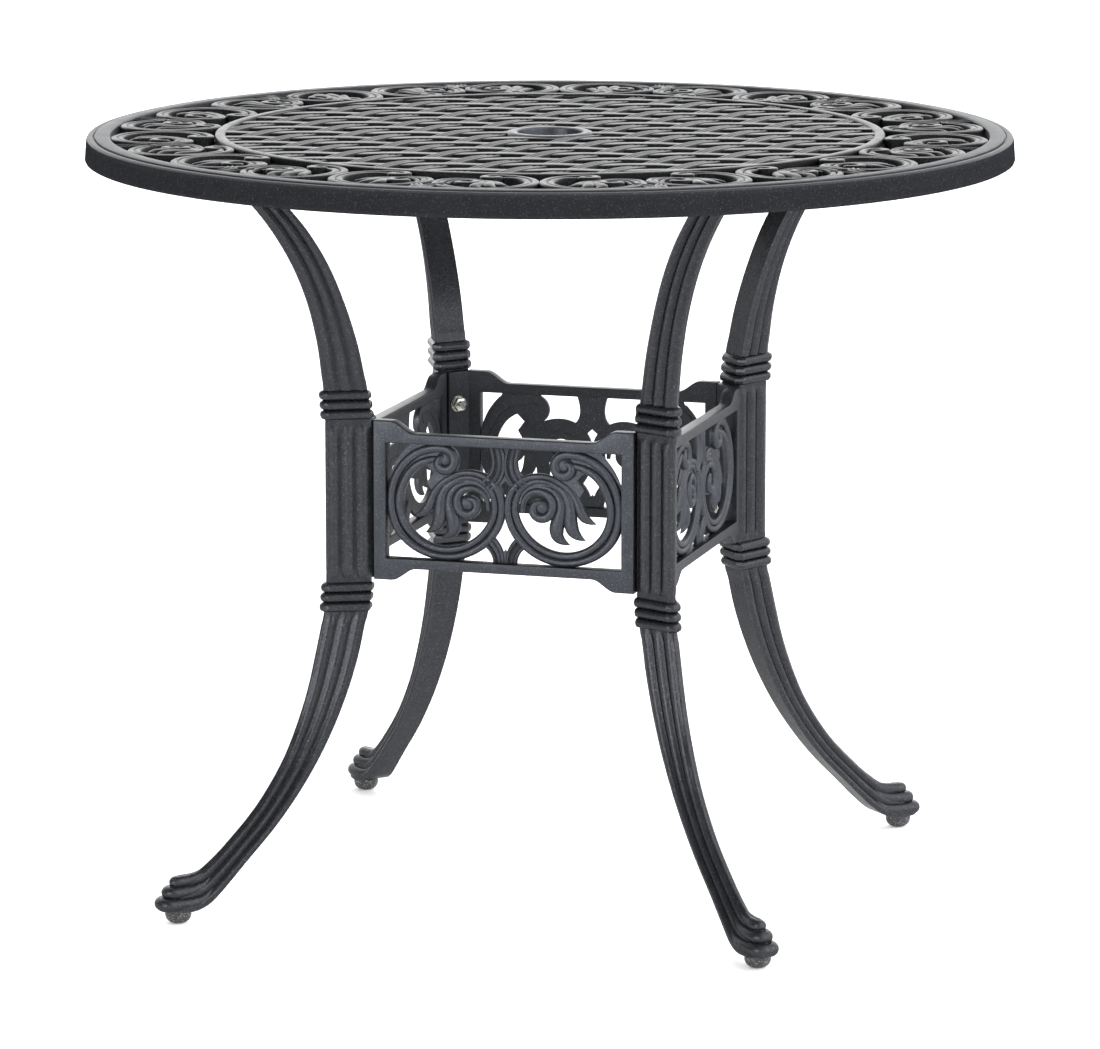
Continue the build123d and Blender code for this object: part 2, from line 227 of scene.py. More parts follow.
# A thin flat web cast behind the ornament
def flatWeb(outline, back, thickness):
    bpy.ops.mesh.primitive_circle_add(vertices=len(outline), fill_type="NGON")
    web = bpy.context.object
    for vertex, (x, y) in zip(web.data.vertices, outline):
        vertex.co = Vector((x, y, back)) * mm
    bpy.ops.object.mode_set(mode="EDIT")
    bpy.ops.mesh.select_all(action="SELECT")
    bpy.ops.mesh.extrude_region_move(TRANSFORM_OT_translate={"value": (0, 0, thickness * mm)})
    bpy.ops.object.mode_set(mode="OBJECT")
    return finishMesh(web)


# Materials
def linearColour(hexText):
    parts = [int(hexText[start:start + 2], 16) / 255 for start in (1, 3, 5)]
    linear = [part / 12.92 if part <= 0.04045 else ((part + 0.055) / 1.055) ** 2.4
              for part in parts]
    return (*linear, 1.0)


def addNode(tree, kind, values=None, links=None, **settings):
    node = tree.nodes.new(kind)
    for key, value in settings.items():
        setattr(node, key, value)
    for key, value in (values or {}).items():
        node.inputs[key].default_value = value
    for key, source in (links or {}).items():
        tree.links.new(source, node.inputs[key])
    return node


def newMaterial(name):
    material = bpy.data.materials.new(name)
    material.use_nodes = True
    tree = material.node_tree
    return material, tree, tree.nodes["Principled BSDF"]


def objectPlace(tree):
    return addNode(tree, "ShaderNodeTexCoord").outputs["Object"]


# Powder coat baked on sand-cast aluminium: a satin charcoal skin, mottled by the casting below
# it, with a sandy grain whose glints are painted into the colour as pale specks. The colour is
# scaled by the mesh's pointiness: painted shade darkens the grooves and a painted highlight
# lightens the ridges, which a share of metal flake also lights. The grain is drawn at 1.6 mm,
# coarser than the real one, so that it shows.
def castPowderCoat(name, dark, pale, speck, gloss, grain, shine, flake):
    material, tree, shader = newMaterial(name)
    place = objectPlace(tree)
    mottle = addNode(tree, "ShaderNodeTexNoise", {"Scale": 1 / (18 * mm), "Detail": 3.0},
                     {"Vector": place})
    body = addNode(tree, "ShaderNodeMix", {"A": linearColour(dark), "B": linearColour(pale)},
                   {"Factor": mottle.outputs["Fac"]}, data_type="RGBA")
    sand = addNode(tree, "ShaderNodeTexNoise", {"Scale": 1 / (1.6 * mm), "Detail": 2.0},
                   {"Vector": place})
    # Painted glints: pale specks mixed into the colour where the sandy grain is high
    paintedGlints = addNode(tree, "ShaderNodeMapRange", {"From Min": 0.56, "From Max": 0.74},
                     {"Value": sand.outputs["Fac"]})
    colour = addNode(tree, "ShaderNodeMix", {"B": linearColour(speck)},
                     {"Factor": paintedGlints.outputs["Result"], "A": body.outputs["Result"]},
                     data_type="RGBA")
    # Painted shade and highlight: pointiness makes the colour darker in the grooves, lighter on
    # the ridges
    form = addNode(tree, "ShaderNodeNewGeometry")
    ridges = addNode(tree, "ShaderNodeMapRange",
                     {"From Min": 0.4, "From Max": 0.56, "To Min": 0.4, "To Max": 1.25},
                     {"Value": form.outputs["Pointiness"]})
    colourWithPaintedLight = addNode(tree, "ShaderNodeVectorMath", {},
                      {0: colour.outputs["Result"], "Scale": ridges.outputs["Result"]},
                      operation="SCALE")
    tree.links.new(colourWithPaintedLight.outputs["Vector"], shader.inputs["Base Color"])
    sheen = addNode(tree, "ShaderNodeMapRange", {"To Min": gloss - 0.06, "To Max": gloss + 0.08},
                    {"Value": mottle.outputs["Fac"]})
    tree.links.new(sheen.outputs["Result"], shader.inputs["Roughness"])
    skin = addNode(tree, "ShaderNodeBump", {"Strength": grain, "Distance": 0.3 * mm},
                   {"Height": sand.outputs["Fac"]})
    cast = addNode(tree, "ShaderNodeBump", {"Strength": 0.15, "Distance": 1.0 * mm},
                   {"Height": mottle.outputs["Fac"], "Normal": skin.outputs["Normal"]})
    tree.links.new(cast.outputs["Normal"], shader.inputs["Normal"])
    shader.inputs["Specular IOR Level"].default_value = shine
    shader.inputs["Metallic"].default_value = flake
    shader.inputs["Specular Tint"].default_value = (1 - flake, 1 - flake, 1 - flake, 1)
    return material


# One coat covers the whole table; the copies below differ in colour as painted light and shade on
# each part
# Legs: deep charcoal with bright lines along the ribs, from the metal flake and the painted
# highlight on the ridges
sandCast = castPowderCoat("sandCastPowderCoat", "#2a2b2e", "#353639", "#4b4d51",
                          gloss=0.27, grain=0.9, shine=0.3, flake=0.65)
# Aprons and hub: painted light, a paler copy of the coat, with a broader shine
litPlateCast = castPowderCoat("litPlateCastPowderCoat", "#303236", "#3c3e43", "#4f5257",
                           gloss=0.35, grain=0.9, shine=0.3, flake=0.65)
# Open work of the top: painted shade, an almost black copy of the coat, as its walls stand in
# each other's shade
shadedOpenwork = castPowderCoat("shadedOpenworkPowderCoat", "#0c0d0e", "#111213", "#26282c",
                          gloss=0.4, grain=0.9, shine=0.05, flake=0.0)
# Flat of the rim and backs of the aprons: painted shade, a darker satin copy of the coat
shadedSatinCast = castPowderCoat("shadedSatinPowderCoat", "#26272a", "#2e3033", "#3f4247",
                          gloss=0.55, grain=0.3, shine=0.1, flake=0.0)
# Side of the rim: painted shade, the darkest copy of the coat, matt with no highlight
shadedMattCast = castPowderCoat("shadedMattPowderCoat", "#1e1f21", "#252628", "#37393d",
                          gloss=0.7, grain=0.6, shine=0.0, flake=0.0)


# Zinc plated steel: bright neutral grey, with a faint cloudy bloom from the plating bath
def zincPlate():
    material, tree, shader = newMaterial("zincPlatedSteel")
    place = objectPlace(tree)
    bloom = addNode(tree, "ShaderNodeTexNoise", {"Scale": 1 / (4 * mm), "Detail": 3.0},
                    {"Vector": place})
    colour = addNode(tree, "ShaderNodeMix",
                     {"A": linearColour("#8a8a86"), "B": linearColour("#b9b8b2")},
                     {"Factor": bloom.outputs["Fac"]}, data_type="RGBA")
    tree.links.new(colour.outputs["Result"], shader.inputs["Base Color"])
    haze = addNode(tree, "ShaderNodeMapRange", {"To Min": 0.18, "To Max": 0.3},
                   {"Value": bloom.outputs["Fac"]})
    tree.links.new(haze.outputs["Result"], shader.inputs["Roughness"])
    shader.inputs["Metallic"].default_value = 1.0
    return material


# Moulded nylon: near black and matt, with pale grit pressed into the surface. The grit is drawn
# at 1.9 mm, coarser than the real one, so that it shows.
def mouldedNylon():
    material, tree, shader = newMaterial("mouldedNylon")
    place = objectPlace(tree)
    grit = addNode(tree, "ShaderNodeTexVoronoi", {"Scale": 1 / (1.9 * mm)}, {"Vector": place})
    dots = addNode(tree, "ShaderNodeMapRange", {"From Min": 0.42, "From Max": 0.2},
                   {"Value": grit.outputs["Distance"]})
    pick = addNode(tree, "ShaderNodeTexNoise", {"Scale": 1 / (3 * mm), "Detail": 1.0},
                   {"Vector": place})
    some = addNode(tree, "ShaderNodeMath", {},
                   {0: dots.outputs["Result"], 1: pick.outputs["Fac"]}, operation="MULTIPLY")
    colour = addNode(tree, "ShaderNodeMix",
                     {"A": linearColour("#2b2b2d"), "B": linearColour("#9b9b9b")},
                     {"Factor": some.outputs["Value"]}, data_type="RGBA")
    tree.links.new(colour.outputs["Result"], shader.inputs["Base Color"])
    bump = addNode(tree, "ShaderNodeBump", {"Strength": 0.5, "Distance": 0.4 * mm},
                   {"Height": some.outputs["Value"]})
    tree.links.new(bump.outputs["Normal"], shader.inputs["Normal"])
    shader.inputs["Roughness"].default_value = 0.6
    return material


zinc = zincPlate()
nylon = mouldedNylon()
print("materials ready")

# Top: the rim in two parts, the inner ring and the hub round the umbrella hole. Each profile
# gives steps outward and upward from the ring's radius and the height of the top.
top = {
    "height": 752.0,
    "rimRadius": 457.2, "rimSegments": 288,
    "bandProfile": [(-25.0, -8.0), (-25.0, -1.4), (-24.1, -0.3), (-22.8, 0), (-10.8, 0),
                    (-10.2, -0.4), (-10.0, -1.2), (-9.9, -2.6), (-8.8, -2.7), (-8.5, -1.9),
                    (-7.7, -1.4), (-5.2, -1.2), (-3.6, -1.6), (-2.4, -2.6), (-2.0, -3.6),
                    (-4.0, -6.0), (-5.0, -8.0)],
    "skirtProfile": [(-2.3, -2.9), (-1.6, -4.4), (-1.2, -8.0), (-0.2, -21.0), (0, -23.0),
                     (-0.6, -24.5), (-2.2, -25.4), (-4.6, -25.4), (-5.6, -24.4), (-6.0, -22.0),
                     (-6.0, -6.0)],
    "ringRadius": 329.6, "ringSegments": 192,
    "ringProfile": [(5.0, -13.0), (5.0, -9.5), (0, -7.0), (0, -2.2), (-0.8, -0.7), (-2.4, 0),
                    (-8.0, 0), (-9.6, -0.7), (-10.4, -2.2), (-10.4, -13.0)],
    "hubRadius": 42.75, "hubSegments": 96,
    "hubProfile": [(0, -26.0), (0, -2.4), (-1.2, -0.8), (-3.4, 0), (-8.8, 0), (-10.4, -0.8),
                   (-11.0, -2.4), (-11.0, -28.0), (-3.0, -28.0)],
}


def topRing(name, radius, profile, segments):
    section = [(radius + out, top["height"] + up) for out, up in profile]
    return turnedRing(name, section, segments)


rimBand = topRing("topRimBand", top["rimRadius"], top["bandProfile"], top["rimSegments"])
rimSkirt = topRing("topRimSkirt", top["rimRadius"], top["skirtProfile"], top["rimSegments"])
innerRing = topRing("topInnerRing", top["ringRadius"], top["ringProfile"], top["ringSegments"])
hub = topRing("topHub", top["hubRadius"], top["hubProfile"], top["hubSegments"])
print("rim, inner ring and hub turned")

# Basket weave: two sets of strands that pass over and under each other at every crossing
weave = {
    "pitch": 46.75, "angles": (15.0, 75.0), "middle": 747.6, "strands": 8, "steps": 12,
    "reach": 324.0, "hubReach": 38.0, "longRise": -0.4, "crossRise": 0.6,
    "plain": [(-8.2, -5.4), (-8.2, 1.4), (-7.8, 2.1), (-6.6, 2.55), (-3.3, 2.75), (0, 2.8),
              (3.3, 2.75), (6.6, 2.55), (7.8, 2.1), (8.2, 1.4), (8.2, -5.4)],
    "reeded": [(-8.2, -5.4), (-8.2, 1.5), (-7.7, 2.2), (-6.7, 2.65), (-5.4, 2.8), (-4.2, 2.55),
               (-3.2, 1.95), (-2.7, 1.75), (-2.2, 1.95), (-1.2, 2.55), (0, 2.8), (1.2, 2.55),
               (2.2, 1.95), (2.7, 1.75), (3.2, 1.95), (4.2, 2.55), (5.4, 2.8), (6.7, 2.65),
               (7.7, 2.2), (8.2, 1.5), (8.2, -5.4)],
}


def weaveStrands(name, own, other, rise, section):
    along = Vector((cos(radians(own)), sin(radians(own)), 0))
    across = Vector((cos(radians(other)), sin(radians(other)), 0))
    stepLength = weave["pitch"] / weave["steps"]
    runs = []
    for number in range(-weave["strands"], weave["strands"] + 1):
        root = across * weave["pitch"] * number
        nearest = -root.dot(along)
        offset = (root + along * nearest).length
        if offset > weave["reach"]:
            continue
        half = sqrt(weave["reach"] ** 2 - offset**2) + weave["pitch"] / 2
        spans = [(nearest - half, nearest + half)]
        if offset < weave["hubReach"]:
            spans = [(-half, -weave["hubReach"]), (weave["hubReach"], half)]
        for low, high in spans:
            count = int((high - low) / stepLength)
            run = []
            for step in range(count + 1):
                place = low + (high - low) * step / count
                wave = cos(pi * (place / weave["pitch"] + number))
                lift = rise * (1.5 * wave - 0.5 * wave**3)
                point = root + along * place
                run.append((point.x, point.y, weave["middle"] + lift, 1.0))
            runs.append(run)
    strands = mouldedRun(name, runs, section, "POLY")
    # The strands' ends are cut off along the inner ring
    for vertex in strands.data.vertices:
        flat = Vector((vertex.co.x, vertex.co.y, 0)) / mm
        if flat.length > weave["reach"]:
            drop = flat - along * flat.dot(along)
            if drop.length < weave["reach"]:
                slide = sqrt(weave["reach"] ** 2 - drop.length_squared)
                flat = drop + along * (slide if flat.dot(along) > 0 else -slide)
            else:
                flat = flat.normalized() * weave["reach"]
            vertex.co.x, vertex.co.y = flat.x * mm, flat.y * mm
    return finishMesh(strands, softCrease)


longAngle, crossAngle = weave["angles"]
longStrands = weaveStrands("weaveLongStrands", longAngle, crossAngle, weave["longRise"],
                           weave["plain"])
crossStrands = weaveStrands("weaveCrossStrands", crossAngle, longAngle, weave["crossRise"],
                            weave["reeded"])
print("weave laid:", len(longStrands.data.polygons) + len(crossStrands.data.polygons), "faces")

# Scroll medallion, lying flat with its back at height 0: a ridged C-scroll that ends in a
# volute, a rolled eye and an acanthus leaf. It is used in the aprons and in the border of the
# top. Rolls give (x, y, half width). Each lies a layer higher than the last, so that no two
# backs share a plane. Domes give place, size and back.
scroll = {
    "layer": 0.1,
    "rolled": [(-1, 0), (-1, 0.88), (-0.88, 1.2), (-0.55, 1.48), (0, 1.6), (0.55, 1.48),
               (0.88, 1.2), (1, 0.88), (1, 0)],
    "leafy": [(-1, 0), (-1, 0.3), (-0.86, 0.6), (-0.5, 0.84), (0, 0.92), (0.5, 0.84),
              (0.86, 0.6), (1, 0.3), (1, 0)],
    "outerRoll": [(30.0, 47.5, 4.3), (39.2, 41.5, 4.3), (48.6, 29.8, 4.3), (54.4, 17.0, 4.4),
                  (56.8, 3.1, 4.5), (56.2, -10.6, 4.5), (51.8, -25.4, 4.4), (42.2, -38.6, 4.2),
                  (28.6, -48.0, 4.0), (12.2, -53.6, 3.8), (-4.2, -54.5, 3.8),
                  (-20.6, -50.8, 3.8), (-36.2, -42.1, 3.8), (-47.9, -30.4, 3.8),
                  (-55.2, -16.2, 3.8), (-57.2, -1.7, 3.8), (-54.7, 12.8, 3.8),
                  (-46.6, 23.4, 3.6), (-34.0, 30.0, 3.2), (-18.8, 31.2, 2.8), (-6, 27.6, 2.2),
                  (4, 20.5, 1.4)],
    "innerRoll": [(10.0, 42.5, 3.0), (17.0, 41.6, 3.6), (27.2, 38.0, 4.1), (37.0, 29.9, 4.2),
                  (43.8, 18.2, 4.2), (47.6, 6.2, 4.2), (48.4, -4.3, 4.2), (46.2, -16.2, 4.1),
                  (40.4, -27.6, 3.9), (29.6, -38.2, 3.8), (17.3, -44.6, 3.7), (3.7, -47.4, 3.6),
                  (-10.0, -46.3, 3.5), (-23.6, -41.3, 3.4), (-35.2, -33.1, 3.4),
                  (-44.0, -22.0, 3.4), (-49.3, -9.8, 3.4), (-50.0, 0.7, 3.4),
                  (-47.2, 11.2, 3.4), (-41.0, 20.0, 3.2), (-31.0, 25.6, 2.9),
                  (-18.8, 26.2, 2.6), (-7, 22.4, 2.2), (2, 15, 1.6)],
    "voluteRoll": [(34.5, 45.0, 4.0), (25.8, 50.2, 4.2), (10.8, 54.0, 4.2), (-0.6, 53.2, 4.3),
                   (-7.8, 48.6, 4.6), (-9.4, 40.6, 5.0), (-6.0, 33.8, 5.3), (1.2, 31.6, 5.4),
                   (7.6, 35.0, 5.2), (8.6, 41.2, 4.6), (4.2, 45.2, 3.8), (-0.4, 42.4, 3.2)],
    "eyeRoll": [(-42.5, -6.0, 2.0), (-42.2, 5.6, 2.6), (-35.6, 14.0, 3.0), (-26.0, 16.6, 3.4),
                (-16.2, 14.0, 3.9), (-10.3, 6.2, 4.3), (-11.0, -3.6, 4.6), (-16.8, -10.2, 4.8),
                (-25.3, -11.0, 4.8), (-31.6, -5.2, 4.4), (-30.8, 2.2, 3.8), (-25.0, 5.6, 3.2),
                (-19.6, 3.6, 2.8), (-19.2, -1.4, 2.4)],
    "lobes": [
        [(-30, 30.0, 2.0), (-18.8, 29.6, 2.6), (-7.0, 26.6, 3.2), (4.0, 19.8, 3.8),
         (12.4, 9.8, 4.4), (16.8, -1.8, 5.2), (20.6, -11.0, 5.6), (32.4, -14.2, 0.4)],
        [(-34, 22.0, 2.0), (-20, 24.6, 2.6), (-7.2, 21.4, 3.6), (2.2, 14.0, 4.8),
         (6.6, 2.8, 5.8), (6.4, -10.0, 6.8), (7.4, -20.6, 7.2), (13.4, -27.6, 4.6),
         (21.6, -31.0, 0.4)],
        [(-38, 13.0, 2.0), (-30, 19.0, 2.4), (-18.6, 20.0, 3.0), (-8.8, 15.6, 3.8),
         (-2.6, 7.0, 4.6), (-2.4, -3.3, 5.6), (-6.4, -14.2, 7.2), (-8.6, -25.0, 7.4),
         (-4.0, -32.4, 5.0), (6.0, -36.0, 0.4)],
    ],
    "domes": [((0.6, 40.2, 1.0), (11.0, 11.0, 5.0), 1.0),
              ((-21.5, -1.6, 1.0), (10.0, 10.0, 4.0), 1.1)],
}


def scrollMedallion():
    rolls = [(scroll[line], scroll["rolled"])
             for line in ("outerRoll", "innerRoll", "voluteRoll", "eyeRoll")]
    rolls += [(line, scroll["leafy"]) for line in scroll["lobes"]]
    parts = []
    for number, (line, section) in enumerate(rolls):
        run = [(x, y, scroll["layer"] * number, wide) for x, y, wide in line]
        parts.append(mouldedRun("scrollRoll", [run], section))
    parts += [domedBall(*dome) for dome in scroll["domes"]]
    return joinPieces("scrollMedallion", parts)


medallion = scrollMedallion()
print("medallion modelled:", len(medallion.data.polygons), "faces")

# Border of the top: the medallion in low relief on deep walls, its volute towards the inner
# ring, copied round in mirrored pairs. Crowns above a height are pressed flatter, and backs go
# down to the foot of the walls.
border = {
    "pairs": 12, "firstAngle": 7.5, "radius": 380.9, "wide": 0.822, "deep": 0.885,
    "relief": 0.6, "face": 751.9, "tallest": 7.4, "crown": 6.5, "crownShare": 0.4,
    "backs": 1.2, "wallFoot": 739.5,
}


def borderPattern(piece):
    low = copyPiece(piece, Matrix.Diagonal((border["wide"], border["deep"], 1, 1)))
    for vertex in low.data.vertices:
        height = vertex.co.z / mm
        pressed = border["crown"] + border["crownShare"] * (height - border["crown"])
        height = min(height, pressed)
        lowered = border["face"] - border["relief"] * (border["tallest"] - height)
        if height < border["backs"]:
            vertex.co.z = (border["wallFoot"] + height) * mm
        else:
            vertex.co.z = min(lowered, border["face"]) * mm
    return low


lowMedallion = borderPattern(medallion)
borderPieces = []
for number in range(2 * border["pairs"]):
    angle = border["firstAngle"] + 180 / border["pairs"] * number
    hand = -1 if number % 2 else 1
    place = polarPlace(angle, border["radius"], angle + 90) @ Matrix.Diagonal((hand, 1, 1, 1))
    borderPieces.append(copyPiece(lowMedallion, place, hand < 0))
dropPiece(lowMedallion)
borderHalves = [joinPieces("borderScrollsFirst", borderPieces[0::2]),
                joinPieces("borderScrollsSecond", borderPieces[1::2])]
print("border laid")

# Bracket: a pair of ribbed bars that part like two leaning stems, used between the scrolls
bracket = {
    "back": -0.2,
    "rib": [(-6.9, 0), (-6.9, 3.6), (-5.8, 5.2), (-4.0, 5.4), (-2.9, 4.2), (-2.1, 4.4), (0, 6.4),
            (2.1, 4.4), (2.9, 4.2), (4.0, 5.4), (5.8, 5.2), (6.9, 3.6), (6.9, 0)],
    "long": [(10.5, 62, 0.95), (5.8, 49, 1.0), (5.2, 37, 1.05), (8.6, 27, 1.1), (19, 18, 1.1)],
    "short": [(6.4, -62, 0.8), (5.4, -51, 0.85), (8.2, -42, 0.95), (19, -34, 1.0)],
}


def bracketPair(name, line):
    run = [(x, y, bracket["back"], share) for x, y, share in line]
    rib = mouldedRun(name, [run], bracket["rib"])
    return joinPieces(name, [rib, copyPiece(rib, Matrix.Diagonal((-1, 1, 1, 1)), True)])


longBracket = bracketPair("longBracket", bracket["long"])
shortBracket = bracketPair("shortBracket", bracket["short"])
bracketAngles = [360 / border["pairs"] * number for number in range(border["pairs"])]
rimBrackets = spreadCopies("borderBrackets", borderPattern(longBracket),
                           [polarPlace(angle, border["radius"], angle - 90)
                            for angle in bracketAngles])

# Bosses under the top that take the legs' bolts
boss = {"inner": 320.9, "outer": 356.9, "halfWidth": 38.0, "low": 734.0, "high": 746.5,
        "round": 1.5}
topBosses = spreadCopies("topBosses",
                         roundedBlock((boss["inner"], -boss["halfWidth"], boss["low"]),
                                      (boss["outer"], boss["halfWidth"], boss["high"]),
                                      boss["round"]),
                         [turned(angle) for corner, suffix, angle in corners])
# Painted shade: the open work, inner ring, brackets and bosses take the near black copy of the
# coat, the rim its darker copies; the hub takes the paler, lit copy
for piece in (innerRing, longStrands, crossStrands, *borderHalves, rimBrackets, topBosses):
    settle(piece, "table", "powder_coat", shadedOpenwork, "table_top")
settle(hub, "table", "powder_coat", litPlateCast, "table_top")
settle(rimBand, "table", "powder_coat", shadedSatinCast, "table_top")
settle(rimSkirt, "table", "powder_coat", shadedMattCast, "table_top")
print("top finished")

# Legs: one casting on +X with a flat back, reeded sides and a narrow nose, bowed out at both
# ends. Stations give back radius, back height, nose radius, nose height, width and reed height.
# Toes give (x, y, z, thickness) from the ankle to the tip.
leg = {
    "noseWidth": 6.0, "noseTurns": (60, 30, 0, -30, -60), "backInset": 2.5,
    "reeds": 3, "reedSteps": 8, "reedPower": 1.5, "reedSink": 0.5, "between": 4,
    "stations": [
        (327, 730, 356, 730, 35, 3.0), (298, 700, 327, 700, 35, 3.2),
        (274, 672, 304.4, 672, 35, 3.2), (252.5, 638, 283.5, 638, 35, 3.2),
        (235.6, 600, 267.4, 600, 35, 3.2), (222, 560, 257.2, 560, 35, 3.2),
        (214.6, 528, 252.6, 528, 35, 3.2), (212, 517, 251, 517, 35, 2.6),
        (208.2, 488, 249, 488, 35, 0.2), (207.9, 479.5, 249, 479.5, 35, 0.2),
        (207.9, 471, 249, 471, 35, 3.0), (207.9, 440, 249, 440, 35, 3.2),
        (207.9, 366, 249, 366, 35, 3.2), (207.9, 335, 249, 335, 35, 3.0),
        (207.9, 326.5, 249, 326.5, 35, 0.2), (208.4, 318, 249.5, 318, 35, 0.2),
        (212.2, 291, 252, 291, 35, 2.4), (215.5, 280, 254.8, 280, 34.5, 3.2),
        (223, 248, 261.4, 252, 33.5, 3.2), (236, 210, 270.4, 217, 32, 3.1),
        (254.5, 170, 283.3, 181, 30.5, 3.0), (278.6, 130, 300.6, 145, 28.5, 2.8),
        (310, 90, 328, 106, 27, 2.6), (345, 55, 361, 72.5, 27, 2.4),
        (366, 34.5, 380, 56.5, 28.5, 2.4), (382, 21, 392, 48.8, 31, 2.3),
        (394, 15.2, 402, 46.8, 33, 2.1), (404, 13.4, 410.5, 45.4, 34, 1.8),
        (412, 13.1, 416.4, 42.6, 33, 1.5), (419, 13.2, 421.5, 36.5, 30, 1.1),
        (426, 14, 427, 28.5, 25, 0.7), (430.5, 16, 430.5, 24, 16, 0.3),
    ],
    "bands": [(484.0, 513.0), (293.5, 322.5)], "bandBetween": 12,
    "beads": 3, "beadSteps": 8, "beadFoot": 0.6, "beadProud": 4.2,
    "toes": [
        [(380, 0.3, 50.5, 3.0), (390, 0.9, 44.6, 4.6), (400, 1.5, 41.8, 5.4),
         (408, 2.0, 41.0, 5.8), (413.6, 1.7, 40.6, 5.8), (415.6, 0, 40.6, 5.8)],
        [(374, 3.6, 44.5, 3.0), (388, 4.6, 35.8, 4.9), (398, 5.3, 32.6, 5.9),
         (408, 5.8, 31.6, 6.3), (417.6, 5.6, 31.0, 6.4), (421.8, 3.4, 30.8, 6.4),
         (422.8, 0, 30.8, 6.4)],
        [(376, 7.5, 33, 3.0), (388, 8.9, 24.2, 5.2), (398, 9.6, 21.0, 6.4),
         (410, 9.8, 20.2, 6.7), (423.4, 8.6, 20.0, 6.8), (428.2, 5.2, 19.9, 6.8),
         (429.2, 0, 19.9, 6.8)],
    ],
    "toeSides": 18, "toeBetween": 5,
    "padFoot": 727.0, "padRound": 2.0,
}


def legRing(station, proud=0.0):
    backRadius, backHeight, noseRadius, noseHeight, width, reed = station
    back, nose = Vector((backRadius, 0, backHeight)), Vector((noseRadius, 0, noseHeight))
    depth = (nose - back).length
    forward, sideways = (nose - back).normalized(), Vector((0, 1, 0))
    half, tip = width / 2, leg["noseWidth"] / 2
    slant = sqrt(depth**2 + (half - tip) ** 2)
    outDepth, outSide = (half - tip) / slant, depth / slant
    side = []
    for number in range(leg["reeds"]):
        for step in range(leg["reedSteps"]):
            turn = step / leg["reedSteps"]
            out = proud + reed * (sin(pi * turn) ** leg["reedPower"] - leg["reedSink"])
            share = (number + turn) / leg["reeds"]
            side.append((share * depth + outDepth * out,
                         half + share * (tip - half) + outSide * out))
    backLine = min(-proud, side[0][0])
    outline = [(backLine, half - leg["backInset"])] + side
    for turn in leg["noseTurns"]:
        outline.append((depth - tip + (tip + proud) * cos(radians(turn)),
                        (tip + proud) * sin(radians(turn))))
    outline += [(d, -w) for d, w in reversed(side)] + [(backLine, leg["backInset"] - half)]
    return [back + forward * d + sideways * w for d, w in outline]


def beadBand(low, high):
    stations = smoothStations(leg["stations"], leg["bandBetween"])
    count = leg["beads"] * leg["beadSteps"]
    rings = []
    for number in range(count + 1):
        height = low + (high - low) * number / count
        phase = (number % leg["beadSteps"]) / leg["beadSteps"]
        swell = sqrt(max(0, 1 - (2 * phase - 1) ** 2))
        near = min(stations, key=lambda station: abs(station[1] - height))
        flat = [near[0], height, near[2], height, near[4], 0]
        rings.append(legRing(flat, leg["beadFoot"] + leg["beadProud"] * swell))
    return skinThrough("beadBand", rings)


def pawToe(stations):
    around = stations + [(x, -y, z, thick) for x, y, z, thick in reversed(stations[:-1])]
    run = smoothStations(around, leg["toeBetween"])
    turns = [2 * pi * number / leg["toeSides"] for number in range(leg["toeSides"])]
    return mouldedRun("pawToe", [run], [(cos(turn), sin(turn)) for turn in turns], "POLY")


def legCasting():
    rings = [legRing(station) for station in smoothStations(leg["stations"], leg["between"])]
    parts = [skinThrough("legShaft", rings)]
    parts += [beadBand(low, high) for low, high in leg["bands"]]
    parts += [pawToe(toe) for toe in leg["toes"]]
    parts.append(roundedBlock((boss["inner"], -boss["halfWidth"], leg["padFoot"]),
                              (boss["outer"], boss["halfWidth"], boss["low"]), leg["padRound"]))
    return joinPieces("legCasting", parts)


casting = legCasting()
for corner, suffix, angle in corners:
    placed = copyPiece(casting, turned(angle))
    placed.name = "leg" + suffix
    settle(placed, "table", "powder_coat", sandCast, "leg_" + corner)
dropPiece(casting)
print("legs cast")

